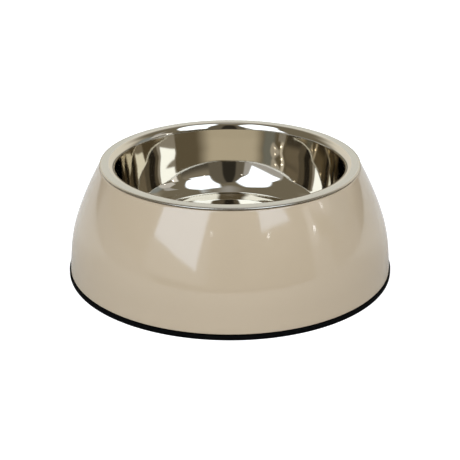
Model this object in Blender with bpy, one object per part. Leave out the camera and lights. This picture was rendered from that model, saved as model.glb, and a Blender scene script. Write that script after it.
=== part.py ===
"""A pet bowl: a steel insert that lifts out of a moulded stand, on a rubber ring.

Every piece is a section in the plane of radius and height, turned about +Z.
Units are metres, +Z is up, and the origin is on the axis, on the floor.
"""

import math

import bmesh
import bpy
from mathutils import Vector

MM = 0.001

# Overall sizes
BASE_RADIUS = 85.0 * MM  # over the rubber ring
RIM_RADIUS = 66.9 * MM  # over the steel rim, and the top edge of the stand
RIM_HEIGHT = 59.0 * MM  # floor to the top of the steel rim

# Steel insert
SHEET = 0.5 * MM
RIM_WIDTH = 4.6 * MM  # the level rim, out to its edge
HEM_WIDTH = 4.2 * MM  # the edge is folded under this far and pressed flat
RIM_BEND = 3.8 * MM  # from the level rim down into the wall
WALL_DRAFT = 7.7  # degrees from upright, below the rim's bend
WALL_CURVE = 58.5 * MM  # slow curve of the lower wall
FLOOR_SLOPE = 68.0  # degrees from level, where the floor's bend meets that curve
FLOOR_BEND = 11.7 * MM  # from the floor up to that slope
FLOOR_HEIGHT = 23.8 * MM  # top of the insert's floor, above the ground

# Moulded stand
STAND_WALL = 2.6 * MM
SKIRT_SETBACK = 0.6 * MM  # how far the skirt's foot stands inside the rubber ring
SKIRT_TAPER = 5.3  # degrees from upright
SKIRT_HEIGHT = 13.0 * MM  # where the straight skirt ends and the shoulder begins
SHOULDER_HEIGHT = 30.4 * MM  # where the shoulder ends and the flatter dome begins
SHOULDER_TIGHTNESS = 0.785  # its radius, as a share of one arc's from the skirt to the lip
LIP_EDGE = 1.0 * MM  # rounding of the lip's outer edge
LIP_MOUTH = 2.0 * MM  # rounding of the lip's inner edge
LIP_FILLET = 3.0 * MM  # inside corners under the lip
COLLAR_DEPTH = 8.0 * MM  # collar that steadies the insert, below the lip's top
INSERT_CLEARANCE = 0.8 * MM  # collar to the insert's wall
FOOT_CHAMFER = 0.4 * MM  # on both edges of the skirt's foot

# Rubber ring
RING_BAND = 2.3 * MM  # visible height
RING_EDGE = 0.4 * MM
RING_UPSTAND = 7.5 * MM  # height above the band
RING_UPSTAND_WALL = 2.0 * MM
RING_BEAD = 0.8 * MM  # half-round bead that snaps into the skirt's groove
RING_BEAD_HEIGHT = 4.6 * MM  # above the band

SEAT_GAP = 0.3 * MM  # between pieces that touch
FACETS = 60  # flats round the axis
CHORD_ERROR = 0.06 * MM  # most that a section's arc may stray from its straights


class Outline:
    """Draws a section as a chain of straights and tangent arcs.

    x is the radius and y the height. The heading is in degrees from outwards,
    turning anticlockwise.
    """

    def __init__(self, radius, height, heading):
        self.at = Vector((radius, height))
        self.heading = heading
        self.points = [self.at.copy()]
        self.headings = [heading]

    def forward(self):
        a = math.radians(self.heading)
        return Vector((math.cos(a), math.sin(a)))

    def left(self):
        a = math.radians(self.heading + 90)
        return Vector((math.cos(a), math.sin(a)))

    def note(self):
        self.points.append(self.at.copy())
        self.headings.append(self.heading)

    def straight(self, length):
        self.at += self.forward() * length
        self.note()
        return self

    def to_radius(self, radius):
        return self.straight((radius - self.at.x) / self.forward().x)

    def to_height(self, height):
        return self.straight((height - self.at.y) / self.forward().y)

    def start_here(self):
        """Drops the points so far, so that the chain begins at this place."""
        self.points = [self.at.copy()]
        self.headings = [self.heading]
        return self

    def corner(self, turn):
        """A sharp turn, to the left where positive."""
        self.heading += turn
        return self

    def bend(self, radius, turn):
        """An arc of this radius that turns the heading, to the left where positive."""
        side = math.copysign(1, turn)
        centre = self.at + self.left() * radius * side
        most = math.degrees(2 * math.acos(1 - CHORD_ERROR / radius))
        steps = math.ceil(abs(turn) / most)
        for _ in range(steps):
            self.heading += turn / steps
            self.at = centre - self.left() * radius * side
            self.note()
        return self

    def radius_through(self, radius, height):
        """Radius of the left-hand arc that starts here and passes through a point."""
        across = Vector((radius, height)) - self.at
        return across.length_squared / (2 * across.dot(self.left()))

    def turn_to_height(self, arc, height, fillet=0.0):
        """Turn of a left-hand arc from here to this height, or to where a fillet up to it begins."""
        centre_height = self.at.y + self.left().y * arc
        lean = math.degrees(math.asin((height - centre_height - fillet) / (arc - fillet)))
        return 90 + lean - self.heading

    def bend_to_level(self, arc, fillet, level):
        """A left-hand arc, then a fillet that ends heading inwards at this height."""
        self.bend(arc, self.turn_to_height(arc, level, fillet))
        return self.bend(fillet, 180 - self.heading)

    def offset(self, distance):
        """The same chain moved to its left by a distance."""
        moved = []
        for point, heading in zip(self.points, self.headings):
            a = math.radians(heading + 90)
            moved.append(point + Vector((math.cos(a), math.sin(a))) * distance)
        return moved


def material(name, colour, roughness, metallic=0.0):
    made = bpy.data.materials.new(name)
    made.use_nodes = True
    shader = made.node_tree.nodes["Principled BSDF"]
    shader.inputs["Base Color"].default_value = (*colour, 1.0)
    shader.inputs["Roughness"].default_value = roughness
    shader.inputs["Metallic"].default_value = metallic
    return made


def turned(name, section, finish):
    """One object made by spinning a closed section, given anticlockwise, about +Z."""
    mesh = bmesh.new()
    corners = [mesh.verts.new((p.x, 0.0, p.y)) for p in section]
    for i, corner in enumerate(corners):
        following = corners[(i + 1) % len(corners)]
        if corner.co.x > 0 or following.co.x > 0:
            mesh.edges.new((corner, following))
    bmesh.ops.spin(
        mesh,
        geom=mesh.verts[:] + mesh.edges[:],
        cent=(0, 0, 0),
        axis=(0, 0, 1),
        angle=math.tau,
        steps=FACETS,
        use_merge=True,
    )
    bmesh.ops.remove_doubles(mesh, verts=mesh.verts[:], dist=0.001 * MM)
    bmesh.ops.recalc_face_normals(mesh, faces=mesh.faces[:])
    data = bpy.data.meshes.new(name)
    mesh.to_mesh(data)
    mesh.free()
    data.shade_smooth()
    data.set_sharp_from_angle(angle=math.radians(35))
    data.materials.append(finish)
    made = bpy.data.objects.new(name, data)
    bpy.context.scene.collection.objects.link(made)
    return made


def insert_outline():
    """The insert's upper face, from the middle of the floor out to where the rim is level."""
    draft = math.radians(WALL_DRAFT)
    slope = math.radians(FLOOR_SLOPE)
    upright = 90.0 - WALL_DRAFT
    # The wall's line is fixed by the rim, so work down from there to the floor.
    top_height = RIM_HEIGHT - RIM_BEND * (1 - math.sin(draft))
    top_radius = RIM_RADIUS - RIM_WIDTH - RIM_BEND * math.cos(draft)
    bend_rise = FLOOR_BEND * (1 - math.cos(slope))
    curve_rise = WALL_CURVE * (math.cos(slope) - math.sin(draft))
    foot_height = FLOOR_HEIGHT + bend_rise + curve_rise
    foot_radius = top_radius - (top_height - foot_height) * math.tan(draft)
    curve_width = WALL_CURVE * (math.cos(draft) - math.sin(slope))

    face = Outline(0.0, FLOOR_HEIGHT, 0.0)
    face.to_radius(foot_radius - curve_width - FLOOR_BEND * math.sin(slope))
    face.bend(FLOOR_BEND, FLOOR_SLOPE)
    face.bend(WALL_CURVE, upright - FLOOR_SLOPE)
    face.to_height(top_height)
    return face.bend(RIM_BEND, -upright)


def insert_section():
    """The insert's sheet: its upper face, the same line a sheet below, and the hem."""
    face = insert_outline()
    fold = Vector((RIM_RADIUS - HEM_WIDTH, RIM_HEIGHT - SHEET))
    edge = Outline(RIM_RADIUS - HEM_WIDTH, RIM_HEIGHT - 2 * SHEET, 0.0)
    edge.to_radius(RIM_RADIUS - SHEET)
    edge.bend(SHEET, 180)
    return face.offset(-SHEET) + [fold] + edge.points + face.points[::-1]


def lip_height():
    """Top of the stand's lip, which carries the hem."""
    return RIM_HEIGHT - 2 * SHEET - SEAT_GAP


def collar_radius():
    """Inside of the collar, clear of the insert's wall where that is widest."""
    return RIM_RADIUS - RIM_WIDTH - RIM_BEND + SHEET + INSERT_CLEARANCE


def skirt_start(inset):
    """A point on the skirt's outer line, or that far inside it, at the top of the ring's band."""
    taper = math.radians(SKIRT_TAPER)
    radius = BASE_RADIUS - SKIRT_SETBACK - inset / math.cos(taper)
    return Outline(radius, RING_BAND, 90.0 + SKIRT_TAPER)


def stand_section():
    """The moulded stand: skirt, shoulder, lip, and the collar under the lip."""
    foot = RING_BAND + SEAT_GAP
    lip = lip_height()

    outer = skirt_start(0.0)
    outer.to_height(foot + FOOT_CHAMFER).start_here()
    outer.to_height(SKIRT_HEIGHT)
    shoulder = SHOULDER_TIGHTNESS * outer.radius_through(RIM_RADIUS, lip)
    shoulder_turn = outer.turn_to_height(shoulder, SHOULDER_HEIGHT)
    outer.bend(shoulder, shoulder_turn)
    dome = outer.radius_through(RIM_RADIUS, lip)
    outer.bend_to_level(dome, LIP_EDGE, lip)
    outer.to_radius(collar_radius() + LIP_MOUTH)
    outer.bend(LIP_MOUTH, 90)
    outer.to_height(lip - COLLAR_DEPTH + STAND_WALL / 2)
    outer.bend(STAND_WALL / 2, 180)
    outer.to_height(lip - STAND_WALL - LIP_FILLET)
    outer.bend(LIP_FILLET, -90)

    inner = skirt_start(STAND_WALL)
    inner.to_height(foot + FOOT_CHAMFER).start_here()
    groove = RING_BEAD + SEAT_GAP
    inner.to_height(RING_BAND + RING_BEAD_HEIGHT - groove)
    inner.corner(-90).bend(groove, 180).corner(-90)
    inner.to_height(SKIRT_HEIGHT)
    inner.bend(shoulder - STAND_WALL, shoulder_turn)
    inner.bend_to_level(dome - STAND_WALL, LIP_FILLET, lip - STAND_WALL)

    base = [
        Vector((inner.points[0].x + FOOT_CHAMFER, foot)),
        Vector((outer.points[0].x - FOOT_CHAMFER, foot)),
    ]
    return outer.points + inner.points[::-1] + base


def ring_section():
    """The rubber ring: a foot under the skirt, and an upstand with a bead inside it."""
    top = RING_BAND
    face = skirt_start(STAND_WALL + SEAT_GAP)
    bead = face.at.y + RING_BEAD_HEIGHT
    face.to_height(bead - RING_BEAD)
    face.corner(-90).bend(RING_BEAD, 180).corner(-90)
    face.to_height(top + RING_UPSTAND - RING_UPSTAND_WALL / 2)
    face.bend(RING_UPSTAND_WALL / 2, 180)
    face.to_height(RING_EDGE)
    inner_foot = Vector((face.at.x + RING_EDGE, 0.0))
    band = Outline(BASE_RADIUS - RING_EDGE, 0.0, 0.0)
    band.bend(RING_EDGE, 90)
    band.to_height(top - RING_EDGE / 2)
    band.bend(RING_EDGE / 2, 90)
    return face.points + [inner_foot] + band.points


def main():
    for old in list(bpy.data.objects):
        bpy.data.objects.remove(old)
    turned("steel_bowl", insert_section(), material("polished_steel", (0.62, 0.60, 0.57), 0.12, 1.0))
    turned("outer_stand", stand_section(), material("beige_melamine", (0.52, 0.44, 0.34), 0.15))
    turned("rubber_ring", ring_section(), material("black_rubber", (0.012, 0.012, 0.013), 0.6))


main()
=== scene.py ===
"""Dresses the pet bowl: a mirror-polished steel insert in a glossy moulded stand on a rubber ring.

Each piece is a section in the plane of radius and height, worked out from straights and tangent
arcs and turned about +Z. Units are metres, +Z is up, and the origin is on the axis, on the floor.
"""

import math

import bpy
import numpy as np
from bpy.props import FloatProperty, FloatVectorProperty, PointerProperty
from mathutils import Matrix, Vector


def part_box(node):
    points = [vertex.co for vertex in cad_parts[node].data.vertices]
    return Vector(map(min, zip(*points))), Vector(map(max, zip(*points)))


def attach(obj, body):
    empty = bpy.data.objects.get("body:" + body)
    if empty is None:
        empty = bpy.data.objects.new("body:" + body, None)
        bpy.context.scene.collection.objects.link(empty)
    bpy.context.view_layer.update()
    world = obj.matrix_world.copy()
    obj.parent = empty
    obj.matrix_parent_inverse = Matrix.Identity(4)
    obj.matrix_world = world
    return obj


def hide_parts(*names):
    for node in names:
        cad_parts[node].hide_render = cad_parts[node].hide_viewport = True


bl_info = {
    "name": "Pet bowl",
    "version": (1, 0, 0),
    "blender": (4, 5, 0),
    "location": "View3D > Sidebar > Pet bowl",
    "description": "Builds the visible pieces of a pet bowl and the studio round it",
    "category": "Add Mesh",
}

MM = 0.001
HALF = math.pi
QUARTER = math.pi / 2
AROUND = 240

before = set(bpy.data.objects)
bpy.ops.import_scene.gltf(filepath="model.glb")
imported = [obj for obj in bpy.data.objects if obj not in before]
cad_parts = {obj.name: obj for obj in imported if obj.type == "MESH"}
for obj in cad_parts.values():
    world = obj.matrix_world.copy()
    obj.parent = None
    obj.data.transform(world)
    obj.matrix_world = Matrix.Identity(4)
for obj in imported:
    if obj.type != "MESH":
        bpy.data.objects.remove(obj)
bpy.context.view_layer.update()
BOWL_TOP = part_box("steel_bowl")[1]
RING_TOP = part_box("rubber_ring")[1]


def length(name, description, default):
    return FloatProperty(
        name=name, description=description, default=default, min=0.0, unit="LENGTH", precision=4
    )


def angle(name, description, degrees):
    return FloatProperty(
        name=name, description=description, default=math.radians(degrees), subtype="ANGLE", unit="ROTATION"
    )


def share(name, description, default):
    return FloatProperty(
        name=name, description=description, default=default, min=0.0, max=1.0, subtype="FACTOR"
    )


def colour(name, description, default):
    return FloatVectorProperty(
        name=name, description=description, default=default, size=3, min=0.0, max=1.0, subtype="COLOR"
    )


def brightness(name, default):
    return FloatProperty(name=name, description="Its brightness, where 1 is white", default=default, min=0.0)


class PetBowlSizes(bpy.types.PropertyGroup):
    """Sizes of the pieces."""

    base_radius: length("Base radius", "Axis to the outside of the rubber ring", RING_TOP.x)
    rim_radius: length("Rim radius", "Axis to the outside of the steel rim", BOWL_TOP.x)
    rim_height: length("Rim height", "Floor to the top of the steel rim", BOWL_TOP.z)
    seat_gap: length("Seat gap", "Between pieces that touch", 0.3 * MM)

    sheet: length("Sheet", "Thickness of the steel", 0.5 * MM)
    rim_width: length("Rim width", "The level rim, out to its edge", 4.6 * MM)
    hem_width: length("Hem width", "How far the rim's edge is folded under", 4.2 * MM)
    nose_reach: length("Nose reach", "How far the rim's outer edge rolls down, level", 1.9 * MM)
    rim_bend: length("Rim bend", "Radius from the level rim down into the wall", 3.8 * MM)
    wall_draft: angle("Wall draft", "Lean of the insert's wall from upright", 7.7)
    wall_curve: length("Wall curve", "Radius of the slow curve of the lower wall", 58.5 * MM)
    floor_slope: angle("Floor slope", "Slope at which the floor's bend meets the wall's curve", 68.0)
    floor_bend: length("Floor bend", "Radius from the insert's floor up to the wall", 11.7 * MM)
    floor_height: length("Floor height", "Ground to the floor, if its bend ran on to level", 23.8 * MM)
    crown_disc: length("Crown disc", "Radius of the level middle of the floor", 30.0 * MM)
    crown_bend: length("Crown bend", "Radius from that disc down to its slope", 20.0 * MM)
    crown_slope: angle("Crown slope", "How steeply the floor falls round the disc", 7.5)
    valley_radius: length("Valley radius", "Axis to the lowest line of the floor", 43.6 * MM)
    valley_bend: length("Valley bend", "Radius from that line up to the cone round it", 2.0 * MM)
    valley_cone: angle("Valley cone", "Slope of the cone between the valley and the floor's bend", 25.5)

    stand_wall: length("Stand wall", "Thickness of the moulded stand", 2.6 * MM)
    skirt_setback: length("Skirt setback", "How far the skirt's foot stands inside the ring", 0.6 * MM)
    skirt_taper: angle("Skirt taper", "Lean of the skirt from upright", 5.3)
    skirt_height: length("Skirt height", "Where the straight skirt ends", 13.0 * MM)
    shoulder_height: length("Shoulder height", "Where the shoulder ends and the dome begins", 30.4 * MM)
    shoulder_tightness: share("Shoulder tightness", "Its radius over that of one arc to the lip", 0.785)
    lip_edge: length("Lip edge", "Rounding of the lip's outer edge", 1.0 * MM)
    lip_mouth: length("Lip mouth", "Rounding of the lip's inner edge", 2.0 * MM)
    lip_fillet: length("Lip fillet", "Inside corners under the lip", 3.0 * MM)
    collar_depth: length("Collar depth", "Collar that steadies the insert", 8.0 * MM)
    insert_clearance: length("Insert clearance", "Collar to the insert's wall", 0.8 * MM)
    foot_chamfer: length("Foot chamfer", "On both edges of the skirt's foot", 0.4 * MM)

    ring_band: length("Ring band", "Visible height of the rubber ring", 2.3 * MM)
    ring_edge: length("Ring edge", "Rounding of the ring's foot", 0.4 * MM)
    ring_upstand: length("Ring upstand", "Height of the upstand above the band", 7.5 * MM)
    ring_upstand_wall: length("Upstand wall", "Thickness of the upstand", 2.0 * MM)
    ring_bead: length("Ring bead", "Half-round bead that snaps into the skirt's groove", 0.8 * MM)
    ring_bead_height: length("Bead height", "Height of the bead above the band", 4.6 * MM)


class PetBowlFinish(bpy.types.PropertyGroup):
    """Colours and finishes."""

    steel: colour("Steel", "Colour of the stainless steel", (0.66, 0.61, 0.515))
    rim: colour("Rim", "Colour of the satin rim", (0.72, 0.705, 0.635))
    shell: colour("Shell", "Colour of the moulded stand", (0.505, 0.402, 0.276))
    rubber: colour("Rubber", "Colour of the ring", (0.003, 0.003, 0.003))
    mirror: share("Mirror", "Roughness of the polished steel", 0.035)
    satin: share("Satin", "Roughness of the level rim", 0.30)
    gloss: share("Gloss", "Roughness of the moulded stand", 0.07)
    ripple: length("Ripple", "Height of the slow waves that pressing leaves in the steel", 0.015 * MM)


class PetBowlStudio(bpy.types.PropertyGroup):
    """The camera and the light."""

    camera_back: length("Camera back", "Axis of the bowl to the camera, level", 536.3 * MM)
    camera_height: length("Camera height", "Floor to the camera", 251.8 * MM)
    aim_height: length("Aim height", "Height on the axis that the camera looks at", 19.33 * MM)
    lens: FloatProperty(
        name="Lens", description="Focal length in millimetres", default=86.51, min=1.0
    )
    left_box: brightness("Left softbox", 2.5)
    right_box: brightness("Right softbox", 2.3)
    back_wall: brightness("Back wall", 0.9)
    fill: FloatProperty(
        name="Fill", description="Power of the fill light", default=31.0, min=0.0, unit="POWER"
    )
    room: colour("Room", "Colour of the room round the softboxes", (0.215, 0.192, 0.145))


class Section:
    """A line in the plane of radius and height, drawn as straights and tangent arcs.

    The heading t turns anticlockwise from outwards, and n(t) = (-sin t, cos t) points to its left.
    A straight is p + s (cos t, sin t) for 0 <= s <= length. An arc of radius r through the angle a
    is p + k r (n(t) - n(t + u)) for u from 0 to a, where k is 1 to the left and -1 to the right.
    """

    STEP = 0.9 * MM
    TURN = math.radians(3.0)
    OVAL_STEPS = 30

    def __init__(self, radius, height, heading):
        self.at = np.array([radius, height])
        self.heading = heading
        self.start_here()

    def start_here(self):
        """Drops the line so far, so that it begins at this place."""
        self.runs = [self.at[None]]
        self.headings = [np.array([self.heading])]
        return self

    def forward(self):
        return np.array([math.cos(self.heading), math.sin(self.heading)])

    def left(self, heading=None):
        t = np.asarray(self.heading if heading is None else heading)
        return np.stack([-np.sin(t), np.cos(t)], axis=-1)

    def add(self, points, headings):
        self.runs.append(points)
        self.headings.append(headings)
        self.at = points[-1]
        self.heading = float(headings[-1])
        return self

    def straight(self, distance):
        steps = max(1, math.ceil(distance / self.STEP))
        s = np.linspace(0, distance, steps + 1)[1:, None]
        return self.add(self.at + s * self.forward(), np.full(steps, self.heading))

    def to_radius(self, radius):
        return self.straight((radius - self.at[0]) / self.forward()[0])

    def to_height(self, height):
        return self.straight((height - self.at[1]) / self.forward()[1])

    def corner(self, turn):
        """A sharp turn, to the left where positive."""
        self.heading += turn
        return self

    def bend(self, radius, turn):
        """An arc of this radius that turns the heading, to the left where positive."""
        side = math.copysign(1, turn)
        steps = math.ceil(max(abs(turn) / self.TURN, radius * abs(turn) / self.STEP))
        headings = self.heading + np.linspace(0, turn, steps + 1)[1:]
        return self.add(self.at + side * radius * (self.left() - self.left(headings)), headings)

    def oval(self, reach, rise):
        """Half an oval from a line that runs outwards: p + (a sin u, b (1 - cos u)) for u from 0 to pi."""
        u = np.linspace(0, math.pi, self.OVAL_STEPS + 1)[1:]
        points = self.at + np.stack([reach * np.sin(u), rise * (1 - np.cos(u))], axis=1)
        return self.add(points, np.arctan2(rise * np.sin(u), reach * np.cos(u)))

    def radius_through(self, radius, height):
        """Radius of the left-hand arc that starts here and passes through a point."""
        across = np.array([radius, height]) - self.at
        return across @ across / (2 * across @ self.left())

    def turn_to_height(self, arc, height, fillet=0.0):
        """Turn of a left-hand arc from here to this height, or to where a fillet up to it begins."""
        centre_height = self.at[1] + self.left()[1] * arc
        lean = math.asin((height - centre_height - fillet) / (arc - fillet))
        return math.pi / 2 + lean - self.heading

    def bend_to_level(self, arc, fillet, level):
        """A left-hand arc, then a fillet that ends heading inwards at this height."""
        self.bend(arc, self.turn_to_height(arc, level, fillet))
        return self.bend(fillet, math.pi - self.heading)

    def line(self, offset=0.0):
        """The whole line as rows of radius and height, moved to its left by an offset."""
        return np.concatenate(self.runs) + offset * self.left(np.concatenate(self.headings))


def insert_face(sizes):
    """The insert's upper face, from the middle of the floor out to where the rim is level."""
    draft = sizes.wall_draft
    slope = sizes.floor_slope
    upright = QUARTER - draft
    top_height = sizes.rim_height - sizes.rim_bend * (1 - math.sin(draft))
    top_radius = sizes.rim_radius - sizes.rim_width - sizes.rim_bend * math.cos(draft)
    bend_rise = sizes.floor_bend * (1 - math.cos(slope))
    curve_rise = sizes.wall_curve * (math.cos(slope) - math.sin(draft))
    foot_height = sizes.floor_height + bend_rise + curve_rise
    foot_radius = top_radius - (top_height - foot_height) * math.tan(draft)
    curve_width = sizes.wall_curve * (math.cos(draft) - math.sin(slope))

    # The pressed floor: a low crown, and a cone from the valley round it up to the floor's bend
    cone, fall = sizes.valley_cone, sizes.crown_slope
    flat_radius = foot_radius - curve_width - sizes.floor_bend * math.sin(slope)
    join_radius = flat_radius + sizes.floor_bend * math.sin(cone)
    join_height = sizes.floor_height + sizes.floor_bend * (1 - math.cos(cone))
    cone_width = join_radius - sizes.valley_radius - sizes.valley_bend * math.sin(cone)
    valley_height = join_height - cone_width * math.tan(cone) - sizes.valley_bend * (1 - math.cos(cone))
    sweep = (sizes.valley_radius - sizes.crown_disc) / math.sin(fall) - sizes.crown_bend
    crown = (sweep + sizes.crown_bend) * (1 - math.cos(fall))

    face = Section(0.0, valley_height + crown, 0.0)
    face.to_radius(sizes.crown_disc)
    face.bend(sizes.crown_bend, -fall)
    face.bend(sweep, fall)
    face.bend(sizes.valley_bend, cone)
    face.to_radius(join_radius)
    face.bend(sizes.floor_bend, slope - cone)
    face.bend(sizes.wall_curve, upright - slope)
    face.to_height(top_height)
    return face.bend(sizes.rim_bend, -upright)


def insert_section(sizes):
    """The insert's sheet: its underside outwards, the hem and the rim's nose, and its face back in."""
    face = insert_face(sizes)
    hem_end = sizes.rim_radius - sizes.hem_width
    nose = Section(hem_end, sizes.rim_height - 2 * sizes.sheet, 0.0)
    nose.to_radius(sizes.rim_radius - sizes.nose_reach)
    nose.oval(sizes.nose_reach, sizes.sheet)
    nose.to_radius(sizes.rim_radius - sizes.rim_width)
    fold = np.array([[hem_end, sizes.rim_height - sizes.sheet]])
    return np.concatenate([face.line(-sizes.sheet), fold, nose.line(), face.line()[-2::-1]])


def lip_height(sizes):
    """Top of the stand's lip, which carries the hem."""
    return sizes.rim_height - 2 * sizes.sheet - sizes.seat_gap


def collar_radius(sizes):
    """Inside of the collar, clear of the insert's wall where that is widest."""
    return sizes.rim_radius - sizes.rim_width - sizes.rim_bend + sizes.sheet + sizes.insert_clearance


def skirt_start(sizes, inset):
    """A point on the skirt's outer line, or that far inside it, at the top of the ring's band."""
    radius = sizes.base_radius - sizes.skirt_setback - inset / math.cos(sizes.skirt_taper)
    return Section(radius, sizes.ring_band, QUARTER + sizes.skirt_taper)


def stand_section(sizes):
    """The moulded stand: skirt, shoulder, lip, and the collar under the lip."""
    wall = sizes.stand_wall
    foot = sizes.ring_band + sizes.seat_gap
    lip = lip_height(sizes)

    outer = skirt_start(sizes, 0.0)
    outer.to_height(foot + sizes.foot_chamfer).start_here()
    outer.to_height(sizes.skirt_height)
    shoulder = sizes.shoulder_tightness * outer.radius_through(sizes.rim_radius, lip)
    shoulder_turn = outer.turn_to_height(shoulder, sizes.shoulder_height)
    outer.bend(shoulder, shoulder_turn)
    dome = outer.radius_through(sizes.rim_radius, lip)
    outer.bend_to_level(dome, sizes.lip_edge, lip)
    outer.to_radius(collar_radius(sizes) + sizes.lip_mouth)
    outer.bend(sizes.lip_mouth, QUARTER)
    outer.to_height(lip - sizes.collar_depth + wall / 2)
    outer.bend(wall / 2, HALF)
    outer.to_height(lip - wall - sizes.lip_fillet)
    outer.bend(sizes.lip_fillet, -QUARTER)

    inner = skirt_start(sizes, wall)
    inner.to_height(foot + sizes.foot_chamfer).start_here()
    groove = sizes.ring_bead + sizes.seat_gap
    inner.to_height(sizes.ring_band + sizes.ring_bead_height - groove)
    inner.corner(-QUARTER).bend(groove, HALF).corner(-QUARTER)
    inner.to_height(sizes.skirt_height)
    inner.bend(shoulder - wall, shoulder_turn)
    inner.bend_to_level(dome - wall, sizes.lip_fillet, lip - wall)

    outer_line, inner_line = outer.line(), inner.line()
    base = [
        [inner_line[0, 0] + sizes.foot_chamfer, foot],
        [outer_line[0, 0] - sizes.foot_chamfer, foot],
    ]
    return np.concatenate([outer_line, inner_line[::-1], base])


def ring_section(sizes):
    """The rubber ring: a foot under the skirt, and an upstand with a bead inside it."""
    top = sizes.ring_band
    edge = sizes.ring_edge
    upstand_wall = sizes.ring_upstand_wall
    face = skirt_start(sizes, sizes.stand_wall + sizes.seat_gap)
    face.to_height(top + sizes.ring_bead_height - sizes.ring_bead)
    face.corner(-QUARTER).bend(sizes.ring_bead, HALF).corner(-QUARTER)
    face.to_height(top + sizes.ring_upstand - upstand_wall / 2)
    face.bend(upstand_wall / 2, HALF)
    face.to_height(edge)
    foot = Section(face.at[0] + edge, 0.0, 0.0)
    foot.to_radius(sizes.base_radius - edge)
    foot.bend(edge, QUARTER)
    foot.to_height(top - edge / 2)
    foot.bend(edge / 2, QUARTER)
    return np.concatenate([face.line(), foot.line()])


def section_normals(section):
    """Unit normals of a section's line: the mean of the straights on both sides, turned right."""
    along = np.roll(section, -1, axis=0) - np.roll(section, 1, axis=0)
    along[0] = section[1] - section[0]
    along[-1] = section[-1] - section[-2]
    normals = np.stack([along[:, 1], -along[:, 0]], axis=1)
    return normals / np.linalg.norm(normals, axis=1)[:, None]


# Each wave's share of the height, waves round the axis, phase, and turn to the metre of height
RIPPLES = ((1.0, 5, 0.4, 90.0), (0.8, 8, 2.1, -140.0), (0.55, 13, 4.0, 210.0), (0.35, 19, 1.2, -60.0))


def pressed_ripple(section, turns, height):
    """Slow waves of a pressed sheet, in metres: a sum of sines of the turn v and the height z.

    w = height * sum_i a_i sin(n_i v + f_i + q_i z), which fades out at the axis and under the rim.
    """
    radius, z = section[:, 0, None], section[:, 1, None]
    v = turns[None]
    total = sum(a * np.sin(n * v + f + q * z) for a, n, f, q in RIPPLES)
    full_from, still_from, fade_width = 20 * MM, 61 * MM, 3 * MM
    near_axis = np.clip(radius / full_from, 0, 1) ** 2
    near_rim = np.clip((still_from - radius) / fade_width, 0, 1)
    return height * near_axis * near_rim * total


def turned(name, section, ripple=None):
    """A closed section turned about +Z: P(u, v) = (r(u) cos v, r(u) sin v, z(u)), v from 0 to 2 pi.

    A section whose ends lie on the axis closes there in poles, and any other closes on itself.
    """
    turns = np.arange(AROUND) * (2 * math.pi / AROUND)
    radius = np.repeat(section[:, 0, None], AROUND, axis=1)
    height = np.repeat(section[:, 1, None], AROUND, axis=1)
    if ripple is not None:
        push = ripple(section, turns)
        normals = section_normals(section)
        radius = radius + push * normals[:, 0, None]
        height = height + push * normals[:, 1, None]
    points = np.stack([radius * np.cos(turns), radius * np.sin(turns), height], axis=-1)
    rows = len(section)
    index = np.arange(rows * AROUND).reshape(rows, AROUND)
    on_axis = section[:, 0] < 1e-6 * MM
    index[on_axis] = index[on_axis, :1]
    last = rows - 1 if on_axis.any() else rows
    low = index[:last]
    high = np.roll(index, -1, axis=0)[:last]
    corners = [low, np.roll(low, -1, axis=1), np.roll(high, -1, axis=1), high]
    quads = np.stack(corners, axis=-1).reshape(-1, 4)
    from_pole = quads[:, 0] == quads[:, 1]
    to_pole = quads[:, 2] == quads[:, 3]
    faces = quads[~(from_pole | to_pole)].tolist()
    faces += quads[from_pole][:, [0, 2, 3]].tolist()
    faces += quads[to_pole][:, [0, 1, 2]].tolist()
    return mesh_object(name, points.reshape(-1, 3), faces)


def mesh_object(name, points, faces, smooth_below=35.0):
    """An object at the origin with these faces, smooth except where they meet at a sharper angle."""
    used, renumbered = np.unique(np.concatenate([np.ravel(face) for face in faces]), return_inverse=True)
    ends = np.cumsum([len(face) for face in faces])[:-1]
    faces = [part.tolist() for part in np.split(renumbered, ends)]
    data = bpy.data.meshes.new(name)
    data.from_pydata(points[used].tolist(), [], faces)
    data.validate()
    data.shade_smooth()
    data.set_sharp_from_angle(angle=math.radians(smooth_below))
    made = bpy.data.objects.new(name, data)
    bpy.context.scene.collection.objects.link(made)
    return made


class Number:
    """A node's output in arithmetic: each operator adds the Math node that works it out."""

    def __init__(self, finish, socket):
        self.finish = finish
        self.socket = socket

    def math(self, operation, *values):
        node = self.finish.node("ShaderNodeMath", {"operation": operation}, dict(enumerate(values)))
        return Number(self.finish, node.outputs[0])

    def __add__(self, other):
        return self.math("ADD", self, other)

    __radd__ = __add__

    def __sub__(self, other):
        return self.math("SUBTRACT", self, other)

    def __rsub__(self, other):
        return self.math("SUBTRACT", other, self)

    def __mul__(self, other):
        return self.math("MULTIPLY", self, other)

    __rmul__ = __mul__

    def __truediv__(self, other):
        return self.math("DIVIDE", self, other)

    def root(self):
        return self.math("SQRT", self)

    def step(self, low, high):
        """0 below low, 1 above high, and an S-curve between them."""
        settings = {"interpolation_type": "SMOOTHSTEP"}
        sockets = {"Value": self, "From Min": low, "From Max": high}
        node = self.finish.node("ShaderNodeMapRange", settings, sockets)
        return Number(self.finish, node.outputs["Result"])


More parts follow.
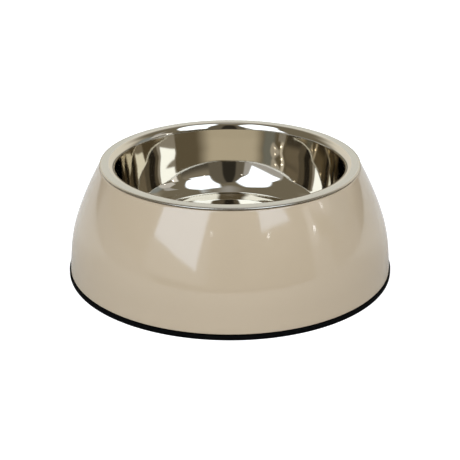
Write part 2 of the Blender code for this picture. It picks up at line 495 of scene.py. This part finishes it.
class Finish:
    """A node tree under construction: a material's, or the world's."""

    def __init__(self, owner):
        owner.use_nodes = True
        self.owner = owner
        self.tree = owner.node_tree
        self.tree.nodes.clear()

    def node(self, kind, settings=None, sockets=None):
        """A node of this type, with its settings and then the values or links of its sockets."""
        node = self.tree.nodes.new(kind)
        for name, value in (settings or {}).items():
            setattr(node, name, value)
        for name, value in (sockets or {}).items():
            target = node.inputs[name]
            if isinstance(value, Number):
                value = value.socket
            if isinstance(value, bpy.types.NodeSocket):
                self.tree.links.new(value, target)
            else:
                target.default_value = value
        return node

    def number(self, node, output=0):
        return Number(self, node.outputs[output])

    def place(self):
        """The place on the piece, as one vector."""
        return self.node("ShaderNodeTexCoord").outputs["Object"]

    def parts(self, vector):
        """A vector's x, y and z."""
        split = self.node("ShaderNodeSeparateXYZ", {}, {"Vector": vector})
        return [self.number(split, i) for i in range(3)]

    def along(self, vector, unit):
        """The dot product of a vector with a fixed one."""
        node = self.node("ShaderNodeVectorMath", {"operation": "DOT_PRODUCT"}, {0: vector, 1: unit})
        return self.number(node, "Value")

    def noise(self, vector, scale, detail=2.0):
        """Noise from 0 to 1 with this many cells to the metre."""
        sockets = {"Vector": vector, "Scale": scale, "Detail": detail}
        return self.number(self.node("ShaderNodeTexNoise", {}, sockets))

    def mixed(self, factor, first, second):
        """A colour between two, each a colour or the socket that gives one."""
        sides = [
            side if isinstance(side, bpy.types.NodeSocket) else (*side, 1.0) for side in (first, second)
        ]
        sockets = {0: factor, 6: sides[0], 7: sides[1]}
        return self.node("ShaderNodeMix", {"data_type": "RGBA"}, sockets).outputs[2]

    def bump(self, height, distance):
        """A normal that follows a height from 0 to 1, which stands for this distance."""
        sockets = {"Height": height, "Distance": distance}
        return self.node("ShaderNodeBump", {}, sockets).outputs["Normal"]

    def surface(self, shader):
        """Shows this shader, and returns the material or the world."""
        target = "World" if isinstance(self.owner, bpy.types.World) else "Material"
        self.node("ShaderNodeOutput" + target, {}, {"Surface": shader})
        return self.owner


def tinted(colour, factor):
    return [min(1.0, part * factor) for part in colour]


def polished_steel(sizes, finish):
    """Mirror-polished sheet with a satin level rim, brushed round the axis, and a rougher rolled nose whose
    darker colour is painted shade and a painted dark reflection.
    """
    made = Finish(bpy.data.materials.new("polished_steel"))
    place = made.place()
    x, y, z = made.parts(place)
    radius = (x * x + y * y).root()
    flat_from = sizes.rim_radius - sizes.rim_width
    nose_from = sizes.rim_radius - sizes.nose_reach
    rim = radius.step(flat_from - 0.5 * MM, flat_from + 0.3 * MM)
    upper = z.step(sizes.rim_height - 0.15 * MM, sizes.rim_height - 0.03 * MM)
    satin = rim * upper
    nose = radius.step(nose_from - 0.2 * MM, nose_from) * (1 - upper)

    # Brushing: noise on the unit circle and the radius, so that it runs round without a seam
    around = made.node("ShaderNodeCombineXYZ", {}, {0: x / radius, 1: y / radius, 2: radius * 400.0})
    brushed = made.noise(around.outputs[0], 9.0, detail=3.0)
    cloud = made.noise(place, 55.0)
    satin_rough = brushed * 0.10 + (finish.satin - 0.05)
    rough = finish.mirror + cloud * 0.02 + satin * satin_rough + nose * 0.12
    polished = made.mixed(cloud, tinted(finish.steel, 0.985), tinted(finish.steel, 1.015))
    # The rolled nose is painted darker, 0.85 of the steel: painted shade and a painted dark reflection, on
    # top of its real extra roughness.
    sheet = made.mixed(nose, polished, tinted(finish.steel, 0.85))
    base = made.mixed(satin, sheet, finish.rim)
    normal = made.bump(brushed * satin, 0.004 * MM)
    sockets = {"Base Color": base, "Metallic": 1.0, "Roughness": rough, "Normal": normal}
    return made.surface(made.node("ShaderNodeBsdfPrincipled", {}, sockets).outputs[0])


def beige_melamine(finish):
    """Glossy moulded shell: an even colour, faintly clouded, over a slow orange peel."""
    made = Finish(bpy.data.materials.new("beige_melamine"))
    place = made.place()
    cloud = made.noise(place, 24.0, detail=3.0)
    grain = made.noise(place, 900.0)
    peel = made.noise(place, 130.0, detail=1.0)
    mottle = cloud * 0.7 + grain * 0.3
    base = made.mixed(mottle, tinted(finish.shell, 0.975), tinted(finish.shell, 1.025))
    rough = finish.gloss + cloud * 0.03
    normal = made.bump(peel, 0.02 * MM)
    sockets = {"Base Color": base, "Roughness": rough, "IOR": 1.75, "Normal": normal}
    return made.surface(made.node("ShaderNodeBsdfPrincipled", {}, sockets).outputs[0])


def black_rubber(finish):
    """Matt rubber: a fine grain, greyer where the ring's foot rubs."""
    made = Finish(bpy.data.materials.new("black_rubber"))
    place = made.place()
    height = made.parts(place)[2]
    grain = made.noise(place, 1500.0, detail=3.0)
    rubbed = 1 - height.step(0.0, 0.8 * MM)
    worn = rubbed * made.noise(place, 90.0)
    base = made.mixed(worn, finish.rubber, (0.006, 0.0058, 0.0056))
    rough = 0.55 + grain * 0.2
    normal = made.bump(grain, 0.03 * MM)
    sockets = {"Base Color": base, "Roughness": rough, "Specular IOR Level": 0.02, "Normal": normal}
    return made.surface(made.node("ShaderNodeBsdfPrincipled", {}, sockets).outputs[0])


def dress(made, material, node, body):
    """Gives a piece its material and ties it to the frame."""
    made.data.materials.append(material)
    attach(made, body)
    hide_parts(node)


def settings(context):
    scene = context.scene
    return scene.pet_bowl_sizes, scene.pet_bowl_finish, scene.pet_bowl_studio


class PETBOWL_OT_steel_insert(bpy.types.Operator):
    """The pressed steel insert with its folded rim"""

    bl_idname = "pet_bowl.steel_insert"
    bl_label = "Steel insert"

    def execute(self, context):
        sizes, finish, _ = settings(context)

        def ripple(section, turns):
            return pressed_ripple(section, turns, finish.ripple)

        made = turned("steel_insert", insert_section(sizes), ripple)
        dress(made, polished_steel(sizes, finish), "steel_bowl", "bowl")
        return {"FINISHED"}


class PETBOWL_OT_moulded_stand(bpy.types.Operator):
    """The domed stand with its lip and collar"""

    bl_idname = "pet_bowl.moulded_stand"
    bl_label = "Moulded stand"

    def execute(self, context):
        sizes, finish, _ = settings(context)
        made = turned("moulded_stand", stand_section(sizes))
        dress(made, beige_melamine(finish), "outer_stand", "stand")
        return {"FINISHED"}


class PETBOWL_OT_rubber_foot(bpy.types.Operator):
    """The rubber ring that the stand rests on"""

    bl_idname = "pet_bowl.rubber_foot"
    bl_label = "Rubber foot"

    def execute(self, context):
        sizes, finish, _ = settings(context)
        made = turned("rubber_foot", ring_section(sizes))
        dress(made, black_rubber(finish), "rubber_ring", "stand")
        return {"FINISHED"}


def direction(azimuth, elevation):
    """Unit vector at an azimuth from the back (+Y) towards +X and an elevation, in degrees."""
    a, e = math.radians(azimuth), math.radians(elevation)
    return np.array([math.sin(a) * math.cos(e), math.cos(a) * math.cos(e), math.sin(e)])


def studio_floor():
    """A plain white floor that keeps the bowl's shadow; in reflections its near side is painted dimmer, as
    painted shade.
    """
    half = 4.0
    points = np.array([[-half, -half, 0.0], [half, -half, 0.0], [half, half, 0.0], [-half, half, 0.0]])
    made = mesh_object("studio_floor", points, [[0, 1, 2, 3]])
    white = Finish(bpy.data.materials.new("studio_floor"))
    path = white.node("ShaderNodeLightPath")
    lift = 0.6 * white.number(path, "Is Camera Ray")
    # Painted shade: for glossy rays only, the near side of the floor is darkened to 0.35.
    near_side = 1 - white.parts(white.place())[1].step(-0.02, 0.08)
    dimmed = 0.35 * near_side * white.number(path, "Is Glossy Ray")
    paint = white.mixed(dimmed, (0.80, 0.775, 0.73), (0, 0, 0))
    matt = white.node("ShaderNodeBsdfDiffuse", {}, {"Color": paint})
    glow = white.node("ShaderNodeEmission", {}, {"Color": (1.0, 1.0, 1.0, 1.0), "Strength": lift})
    both = white.node("ShaderNodeAddShader", {}, {0: matt.outputs[0], 1: glow.outputs[0]})
    made.data.materials.append(white.surface(both.outputs[0]))


class Room:
    """The world by direction: panels laid one over another on the colour of a room.

    A corner is an azimuth and an elevation in degrees. Softness is the width of a panel's edges, as a
    sine, and a colour is linear light, where 1 is white.
    """

    def __init__(self, base):
        world = bpy.data.worlds.new("studio_room")
        bpy.context.scene.world = world
        self.sky = Finish(world)
        self.towards = self.sky.node("ShaderNodeTexCoord").outputs["Generated"]
        self.rise = self.sky.parts(self.towards)[2]
        self.colour = self.sky.mixed(0.0, base, base)

    def inside(self, corners, softness):
        """1 inside a flat panel between these directions: the product of a step across each side.

        The plane through the bowl and a side has the normal a x b, for the side's corners a and b.
        """
        ends = [direction(*corner) for corner in corners]
        middle = sum(ends)
        mask = 1.0
        for first, second in zip(ends, ends[1:] + ends[:1]):
            normal = np.cross(first, second)
            normal *= math.copysign(1 / np.linalg.norm(normal), normal @ middle)
            mask = self.sky.along(self.towards, normal).step(-softness / 2, softness / 2) * mask
        return mask

    def above(self, elevation, softness):
        """0 below this elevation and 1 above it, with the softness in degrees on either side."""
        low, high = (math.sin(math.radians(elevation + side * softness)) for side in (-1, 1))
        return self.rise.step(low, high)

    def lay(self, mask, light):
        self.colour = self.sky.mixed(mask, self.colour, light)

    def panel(self, corners, softness, light):
        self.lay(self.inside(corners, softness), light)

    def lamp(self, azimuth, elevation, radius, light):
        """Lays a round lamp, where the dot product with its direction is high."""
        edge, core = (math.cos(math.radians(radius * part)) for part in (1.0, 0.7))
        self.lay(self.sky.along(self.towards, direction(azimuth, elevation)).step(edge, core), light)

    def finish(self):
        """White to the camera, and the room to everything else."""
        seen = self.sky.node("ShaderNodeLightPath").outputs["Is Camera Ray"]
        shown = self.sky.mixed(seen, self.colour, (1.0, 1.0, 1.0))
        self.sky.surface(self.sky.node("ShaderNodeBackground", {}, {"Color": shown}).outputs[0])


def grey(value, tint=(1.0, 1.0, 1.0)):
    return [value * part for part in tint]


CREAM = (1.0, 0.975, 0.90)
WARM = (1.0, 0.90, 0.72)
COOL = (0.87, 1.0, 1.2)


def lay_walls(room, back_wall):
    """The pale wall behind the bowl, a dimmer column up it, and the bluish wall at the right."""
    back = room.inside(((-54, 0), (62, 0), (62, 80), (-54, 80)), 0.62)
    room.lay(back * room.above(7, 2) * (1 - room.above(40, 9)), grey(back_wall, CREAM))
    column = room.inside(((-10, 30), (14, 30), (14, 88), (-10, 88)), 0.14)
    room.lay(column * room.above(34, 5), grey(0.42))
    beside = room.inside(((70, 0), (94, 0), (94, 80), (70, 80)), 0.2)
    room.lay(beside * room.above(8, 3) * (1 - room.above(34, 6)), (0.31, 0.345, 0.36))


def lay_under_boxes(room):
    """What stands under the softboxes."""
    left = room.inside(((-164, 0), (-117, 0), (-117, 30), (-164, 30)), 0.05)
    room.lay(left * room.above(4, 2), grey(0.5))
    right = room.inside(((122, 0), (170, 0), (170, 50), (122, 50)), 0.06)
    room.lay(right * room.above(6, 3), grey(0.10, WARM))
    room.lay(right * room.above(17, 4), grey(0.27, WARM))


def lay_window(room):
    """A window at the right, in three panes."""
    room.panel(((109, 11), (117, 11), (115, 28), (109, 28)), 0.04, grey(1.05))
    room.panel(((88, 19), (92, 16), (108, 24), (106, 36), (86, 42)), 0.05, grey(0.72))
    room.panel(((76, 47), (82, 38), (90, 35), (92, 40), (76, 58)), 0.04, grey(0.5))


def lay_softboxes(room, left, right):
    """An upright softbox and one overhead on the left, and one that leans over on the right."""
    upright = ((-155.5, 13.6), (-119.5, 19.6), (-121, 44), (-167, 66.2), (-164.5, 44))
    overhead = ((-167, 66.2), (-121, 44), (-79, 68.6), (-34, 75.6))
    leaning = ((154.5, 32), (132, 33.5), (117, 38), (71, 65.2), (30, 65), (16, 74), (130, 81))
    foot = ((154.5, 28.5), (128.5, 27.8), (134, 37), (154, 40))
    room.panel(upright, 0.03, grey(left, COOL))
    room.panel(overhead, 0.06, grey(left, COOL))
    room.panel(leaning, 0.04, grey(right, COOL))
    room.panel(foot, 0.03, grey(right, COOL))


def lay_front_gap(room):
    """The dark gap between the softboxes, where the camera stands."""
    room.panel(((156, 8), (-164, 8), (-168, 72), (150, 80)), 0.05, grey(0.16, WARM))
    room.panel(((171, 8), (-173, 8), (-174, 72), (171, 72)), 0.05, grey(0.035, WARM))


def lay_low_band(room):
    """A dark band just over the floor, paler at the sides."""
    room.lay(1 - room.above(5, 2), grey(0.05))
    room.panel(((-125, -8), (-58, -8), (-58, 7), (-125, 7)), 0.08, grey(0.35))
    room.panel(((68, -8), (100, -8), (100, 7), (68, 7)), 0.08, grey(0.35))
    room.panel(((100, -10), (120, -10), (118, 14), (102, 14)), 0.05, grey(0.45))


def studio_room(studio):
    """A dim warm room with a bright wall at the back, and softboxes on either side of the camera."""
    room = Room(studio.room)
    lay_walls(room, studio.back_wall)
    lay_under_boxes(room)
    lay_window(room)
    lay_softboxes(room, studio.left_box, studio.right_box)
    lay_front_gap(room)
    lay_low_band(room)
    for azimuth, elevation, radius in ((110.7, 19, 0.9), (97, 22, 0.6), (149, 26.5, 0.6), (-165, 28.8, 0.6)):
        room.lamp(azimuth, elevation, radius, grey(14.0))
    room.finish()


def studio_fill(power):
    """A soft light high over the camera, which shows in no reflection."""
    data = bpy.data.lights.new("studio_fill", "AREA")
    data.shape = "DISK"
    data.size = 2.0
    data.energy = power
    data.color = (1.0, 0.985, 0.97)
    made = bpy.data.objects.new("studio_fill", data)
    bpy.context.scene.collection.objects.link(made)
    made.location = 3.0 * direction(180, 50)
    made.rotation_euler = (-made.location).to_track_quat("-Z", "Y").to_euler()
    made.visible_glossy = False


def studio_camera(studio):
    """The camera at the photograph's angle."""
    data = bpy.data.cameras.new("camera")
    data.lens = studio.lens
    data.sensor_width = 36.0
    data.clip_start = 0.01
    made = bpy.data.objects.new("camera", data)
    bpy.context.scene.collection.objects.link(made)
    made.location = (0.0, -studio.camera_back, studio.camera_height)
    aim = Vector((0.0, 0.0, studio.aim_height))
    made.rotation_euler = (aim - made.location).to_track_quat("-Z", "Y").to_euler()
    bpy.context.scene.camera = made


class PETBOWL_OT_studio(bpy.types.Operator):
    """The floor, the room, the light panels and the camera"""

    bl_idname = "pet_bowl.studio"
    bl_label = "Studio"

    def execute(self, context):
        _, _, studio = settings(context)
        studio_floor()
        studio_room(studio)
        studio_fill(studio.fill)
        studio_camera(studio)
        scene = context.scene
        scene.view_settings.view_transform = "Standard"
        return {"FINISHED"}


class PETBOWL_PT_sidebar(bpy.types.Panel):
    """Lists the pieces, their sizes and their finishes"""

    bl_idname = "PETBOWL_PT_sidebar"
    bl_label = "Pet bowl"
    bl_space_type = "VIEW_3D"
    bl_region_type = "UI"
    bl_category = "Pet bowl"

    def draw(self, context):
        for operator in OPERATORS:
            self.layout.operator(operator.bl_idname)
        for group in settings(context):
            box = self.layout.box()
            for name in group.bl_rna.properties.keys():
                if name not in ("rna_type", "name"):
                    box.prop(group, name)


GROUPS = {"pet_bowl_sizes": PetBowlSizes, "pet_bowl_finish": PetBowlFinish, "pet_bowl_studio": PetBowlStudio}
OPERATORS = (PETBOWL_OT_steel_insert, PETBOWL_OT_moulded_stand, PETBOWL_OT_rubber_foot, PETBOWL_OT_studio)


def register():
    for made in (*GROUPS.values(), *OPERATORS, PETBOWL_PT_sidebar):
        bpy.utils.register_class(made)
    for name, group in GROUPS.items():
        setattr(bpy.types.Scene, name, PointerProperty(type=group))


def unregister():
    for name in GROUPS:
        delattr(bpy.types.Scene, name)
    for made in (*GROUPS.values(), *OPERATORS, PETBOWL_PT_sidebar):
        bpy.utils.unregister_class(made)


def main():
    register()
    bpy.ops.pet_bowl.steel_insert()
    bpy.ops.pet_bowl.moulded_stand()
    bpy.ops.pet_bowl.rubber_foot()
    bpy.ops.pet_bowl.studio()
    bpy.context.view_layer.update()


if __name__ == "__main__":
    main()
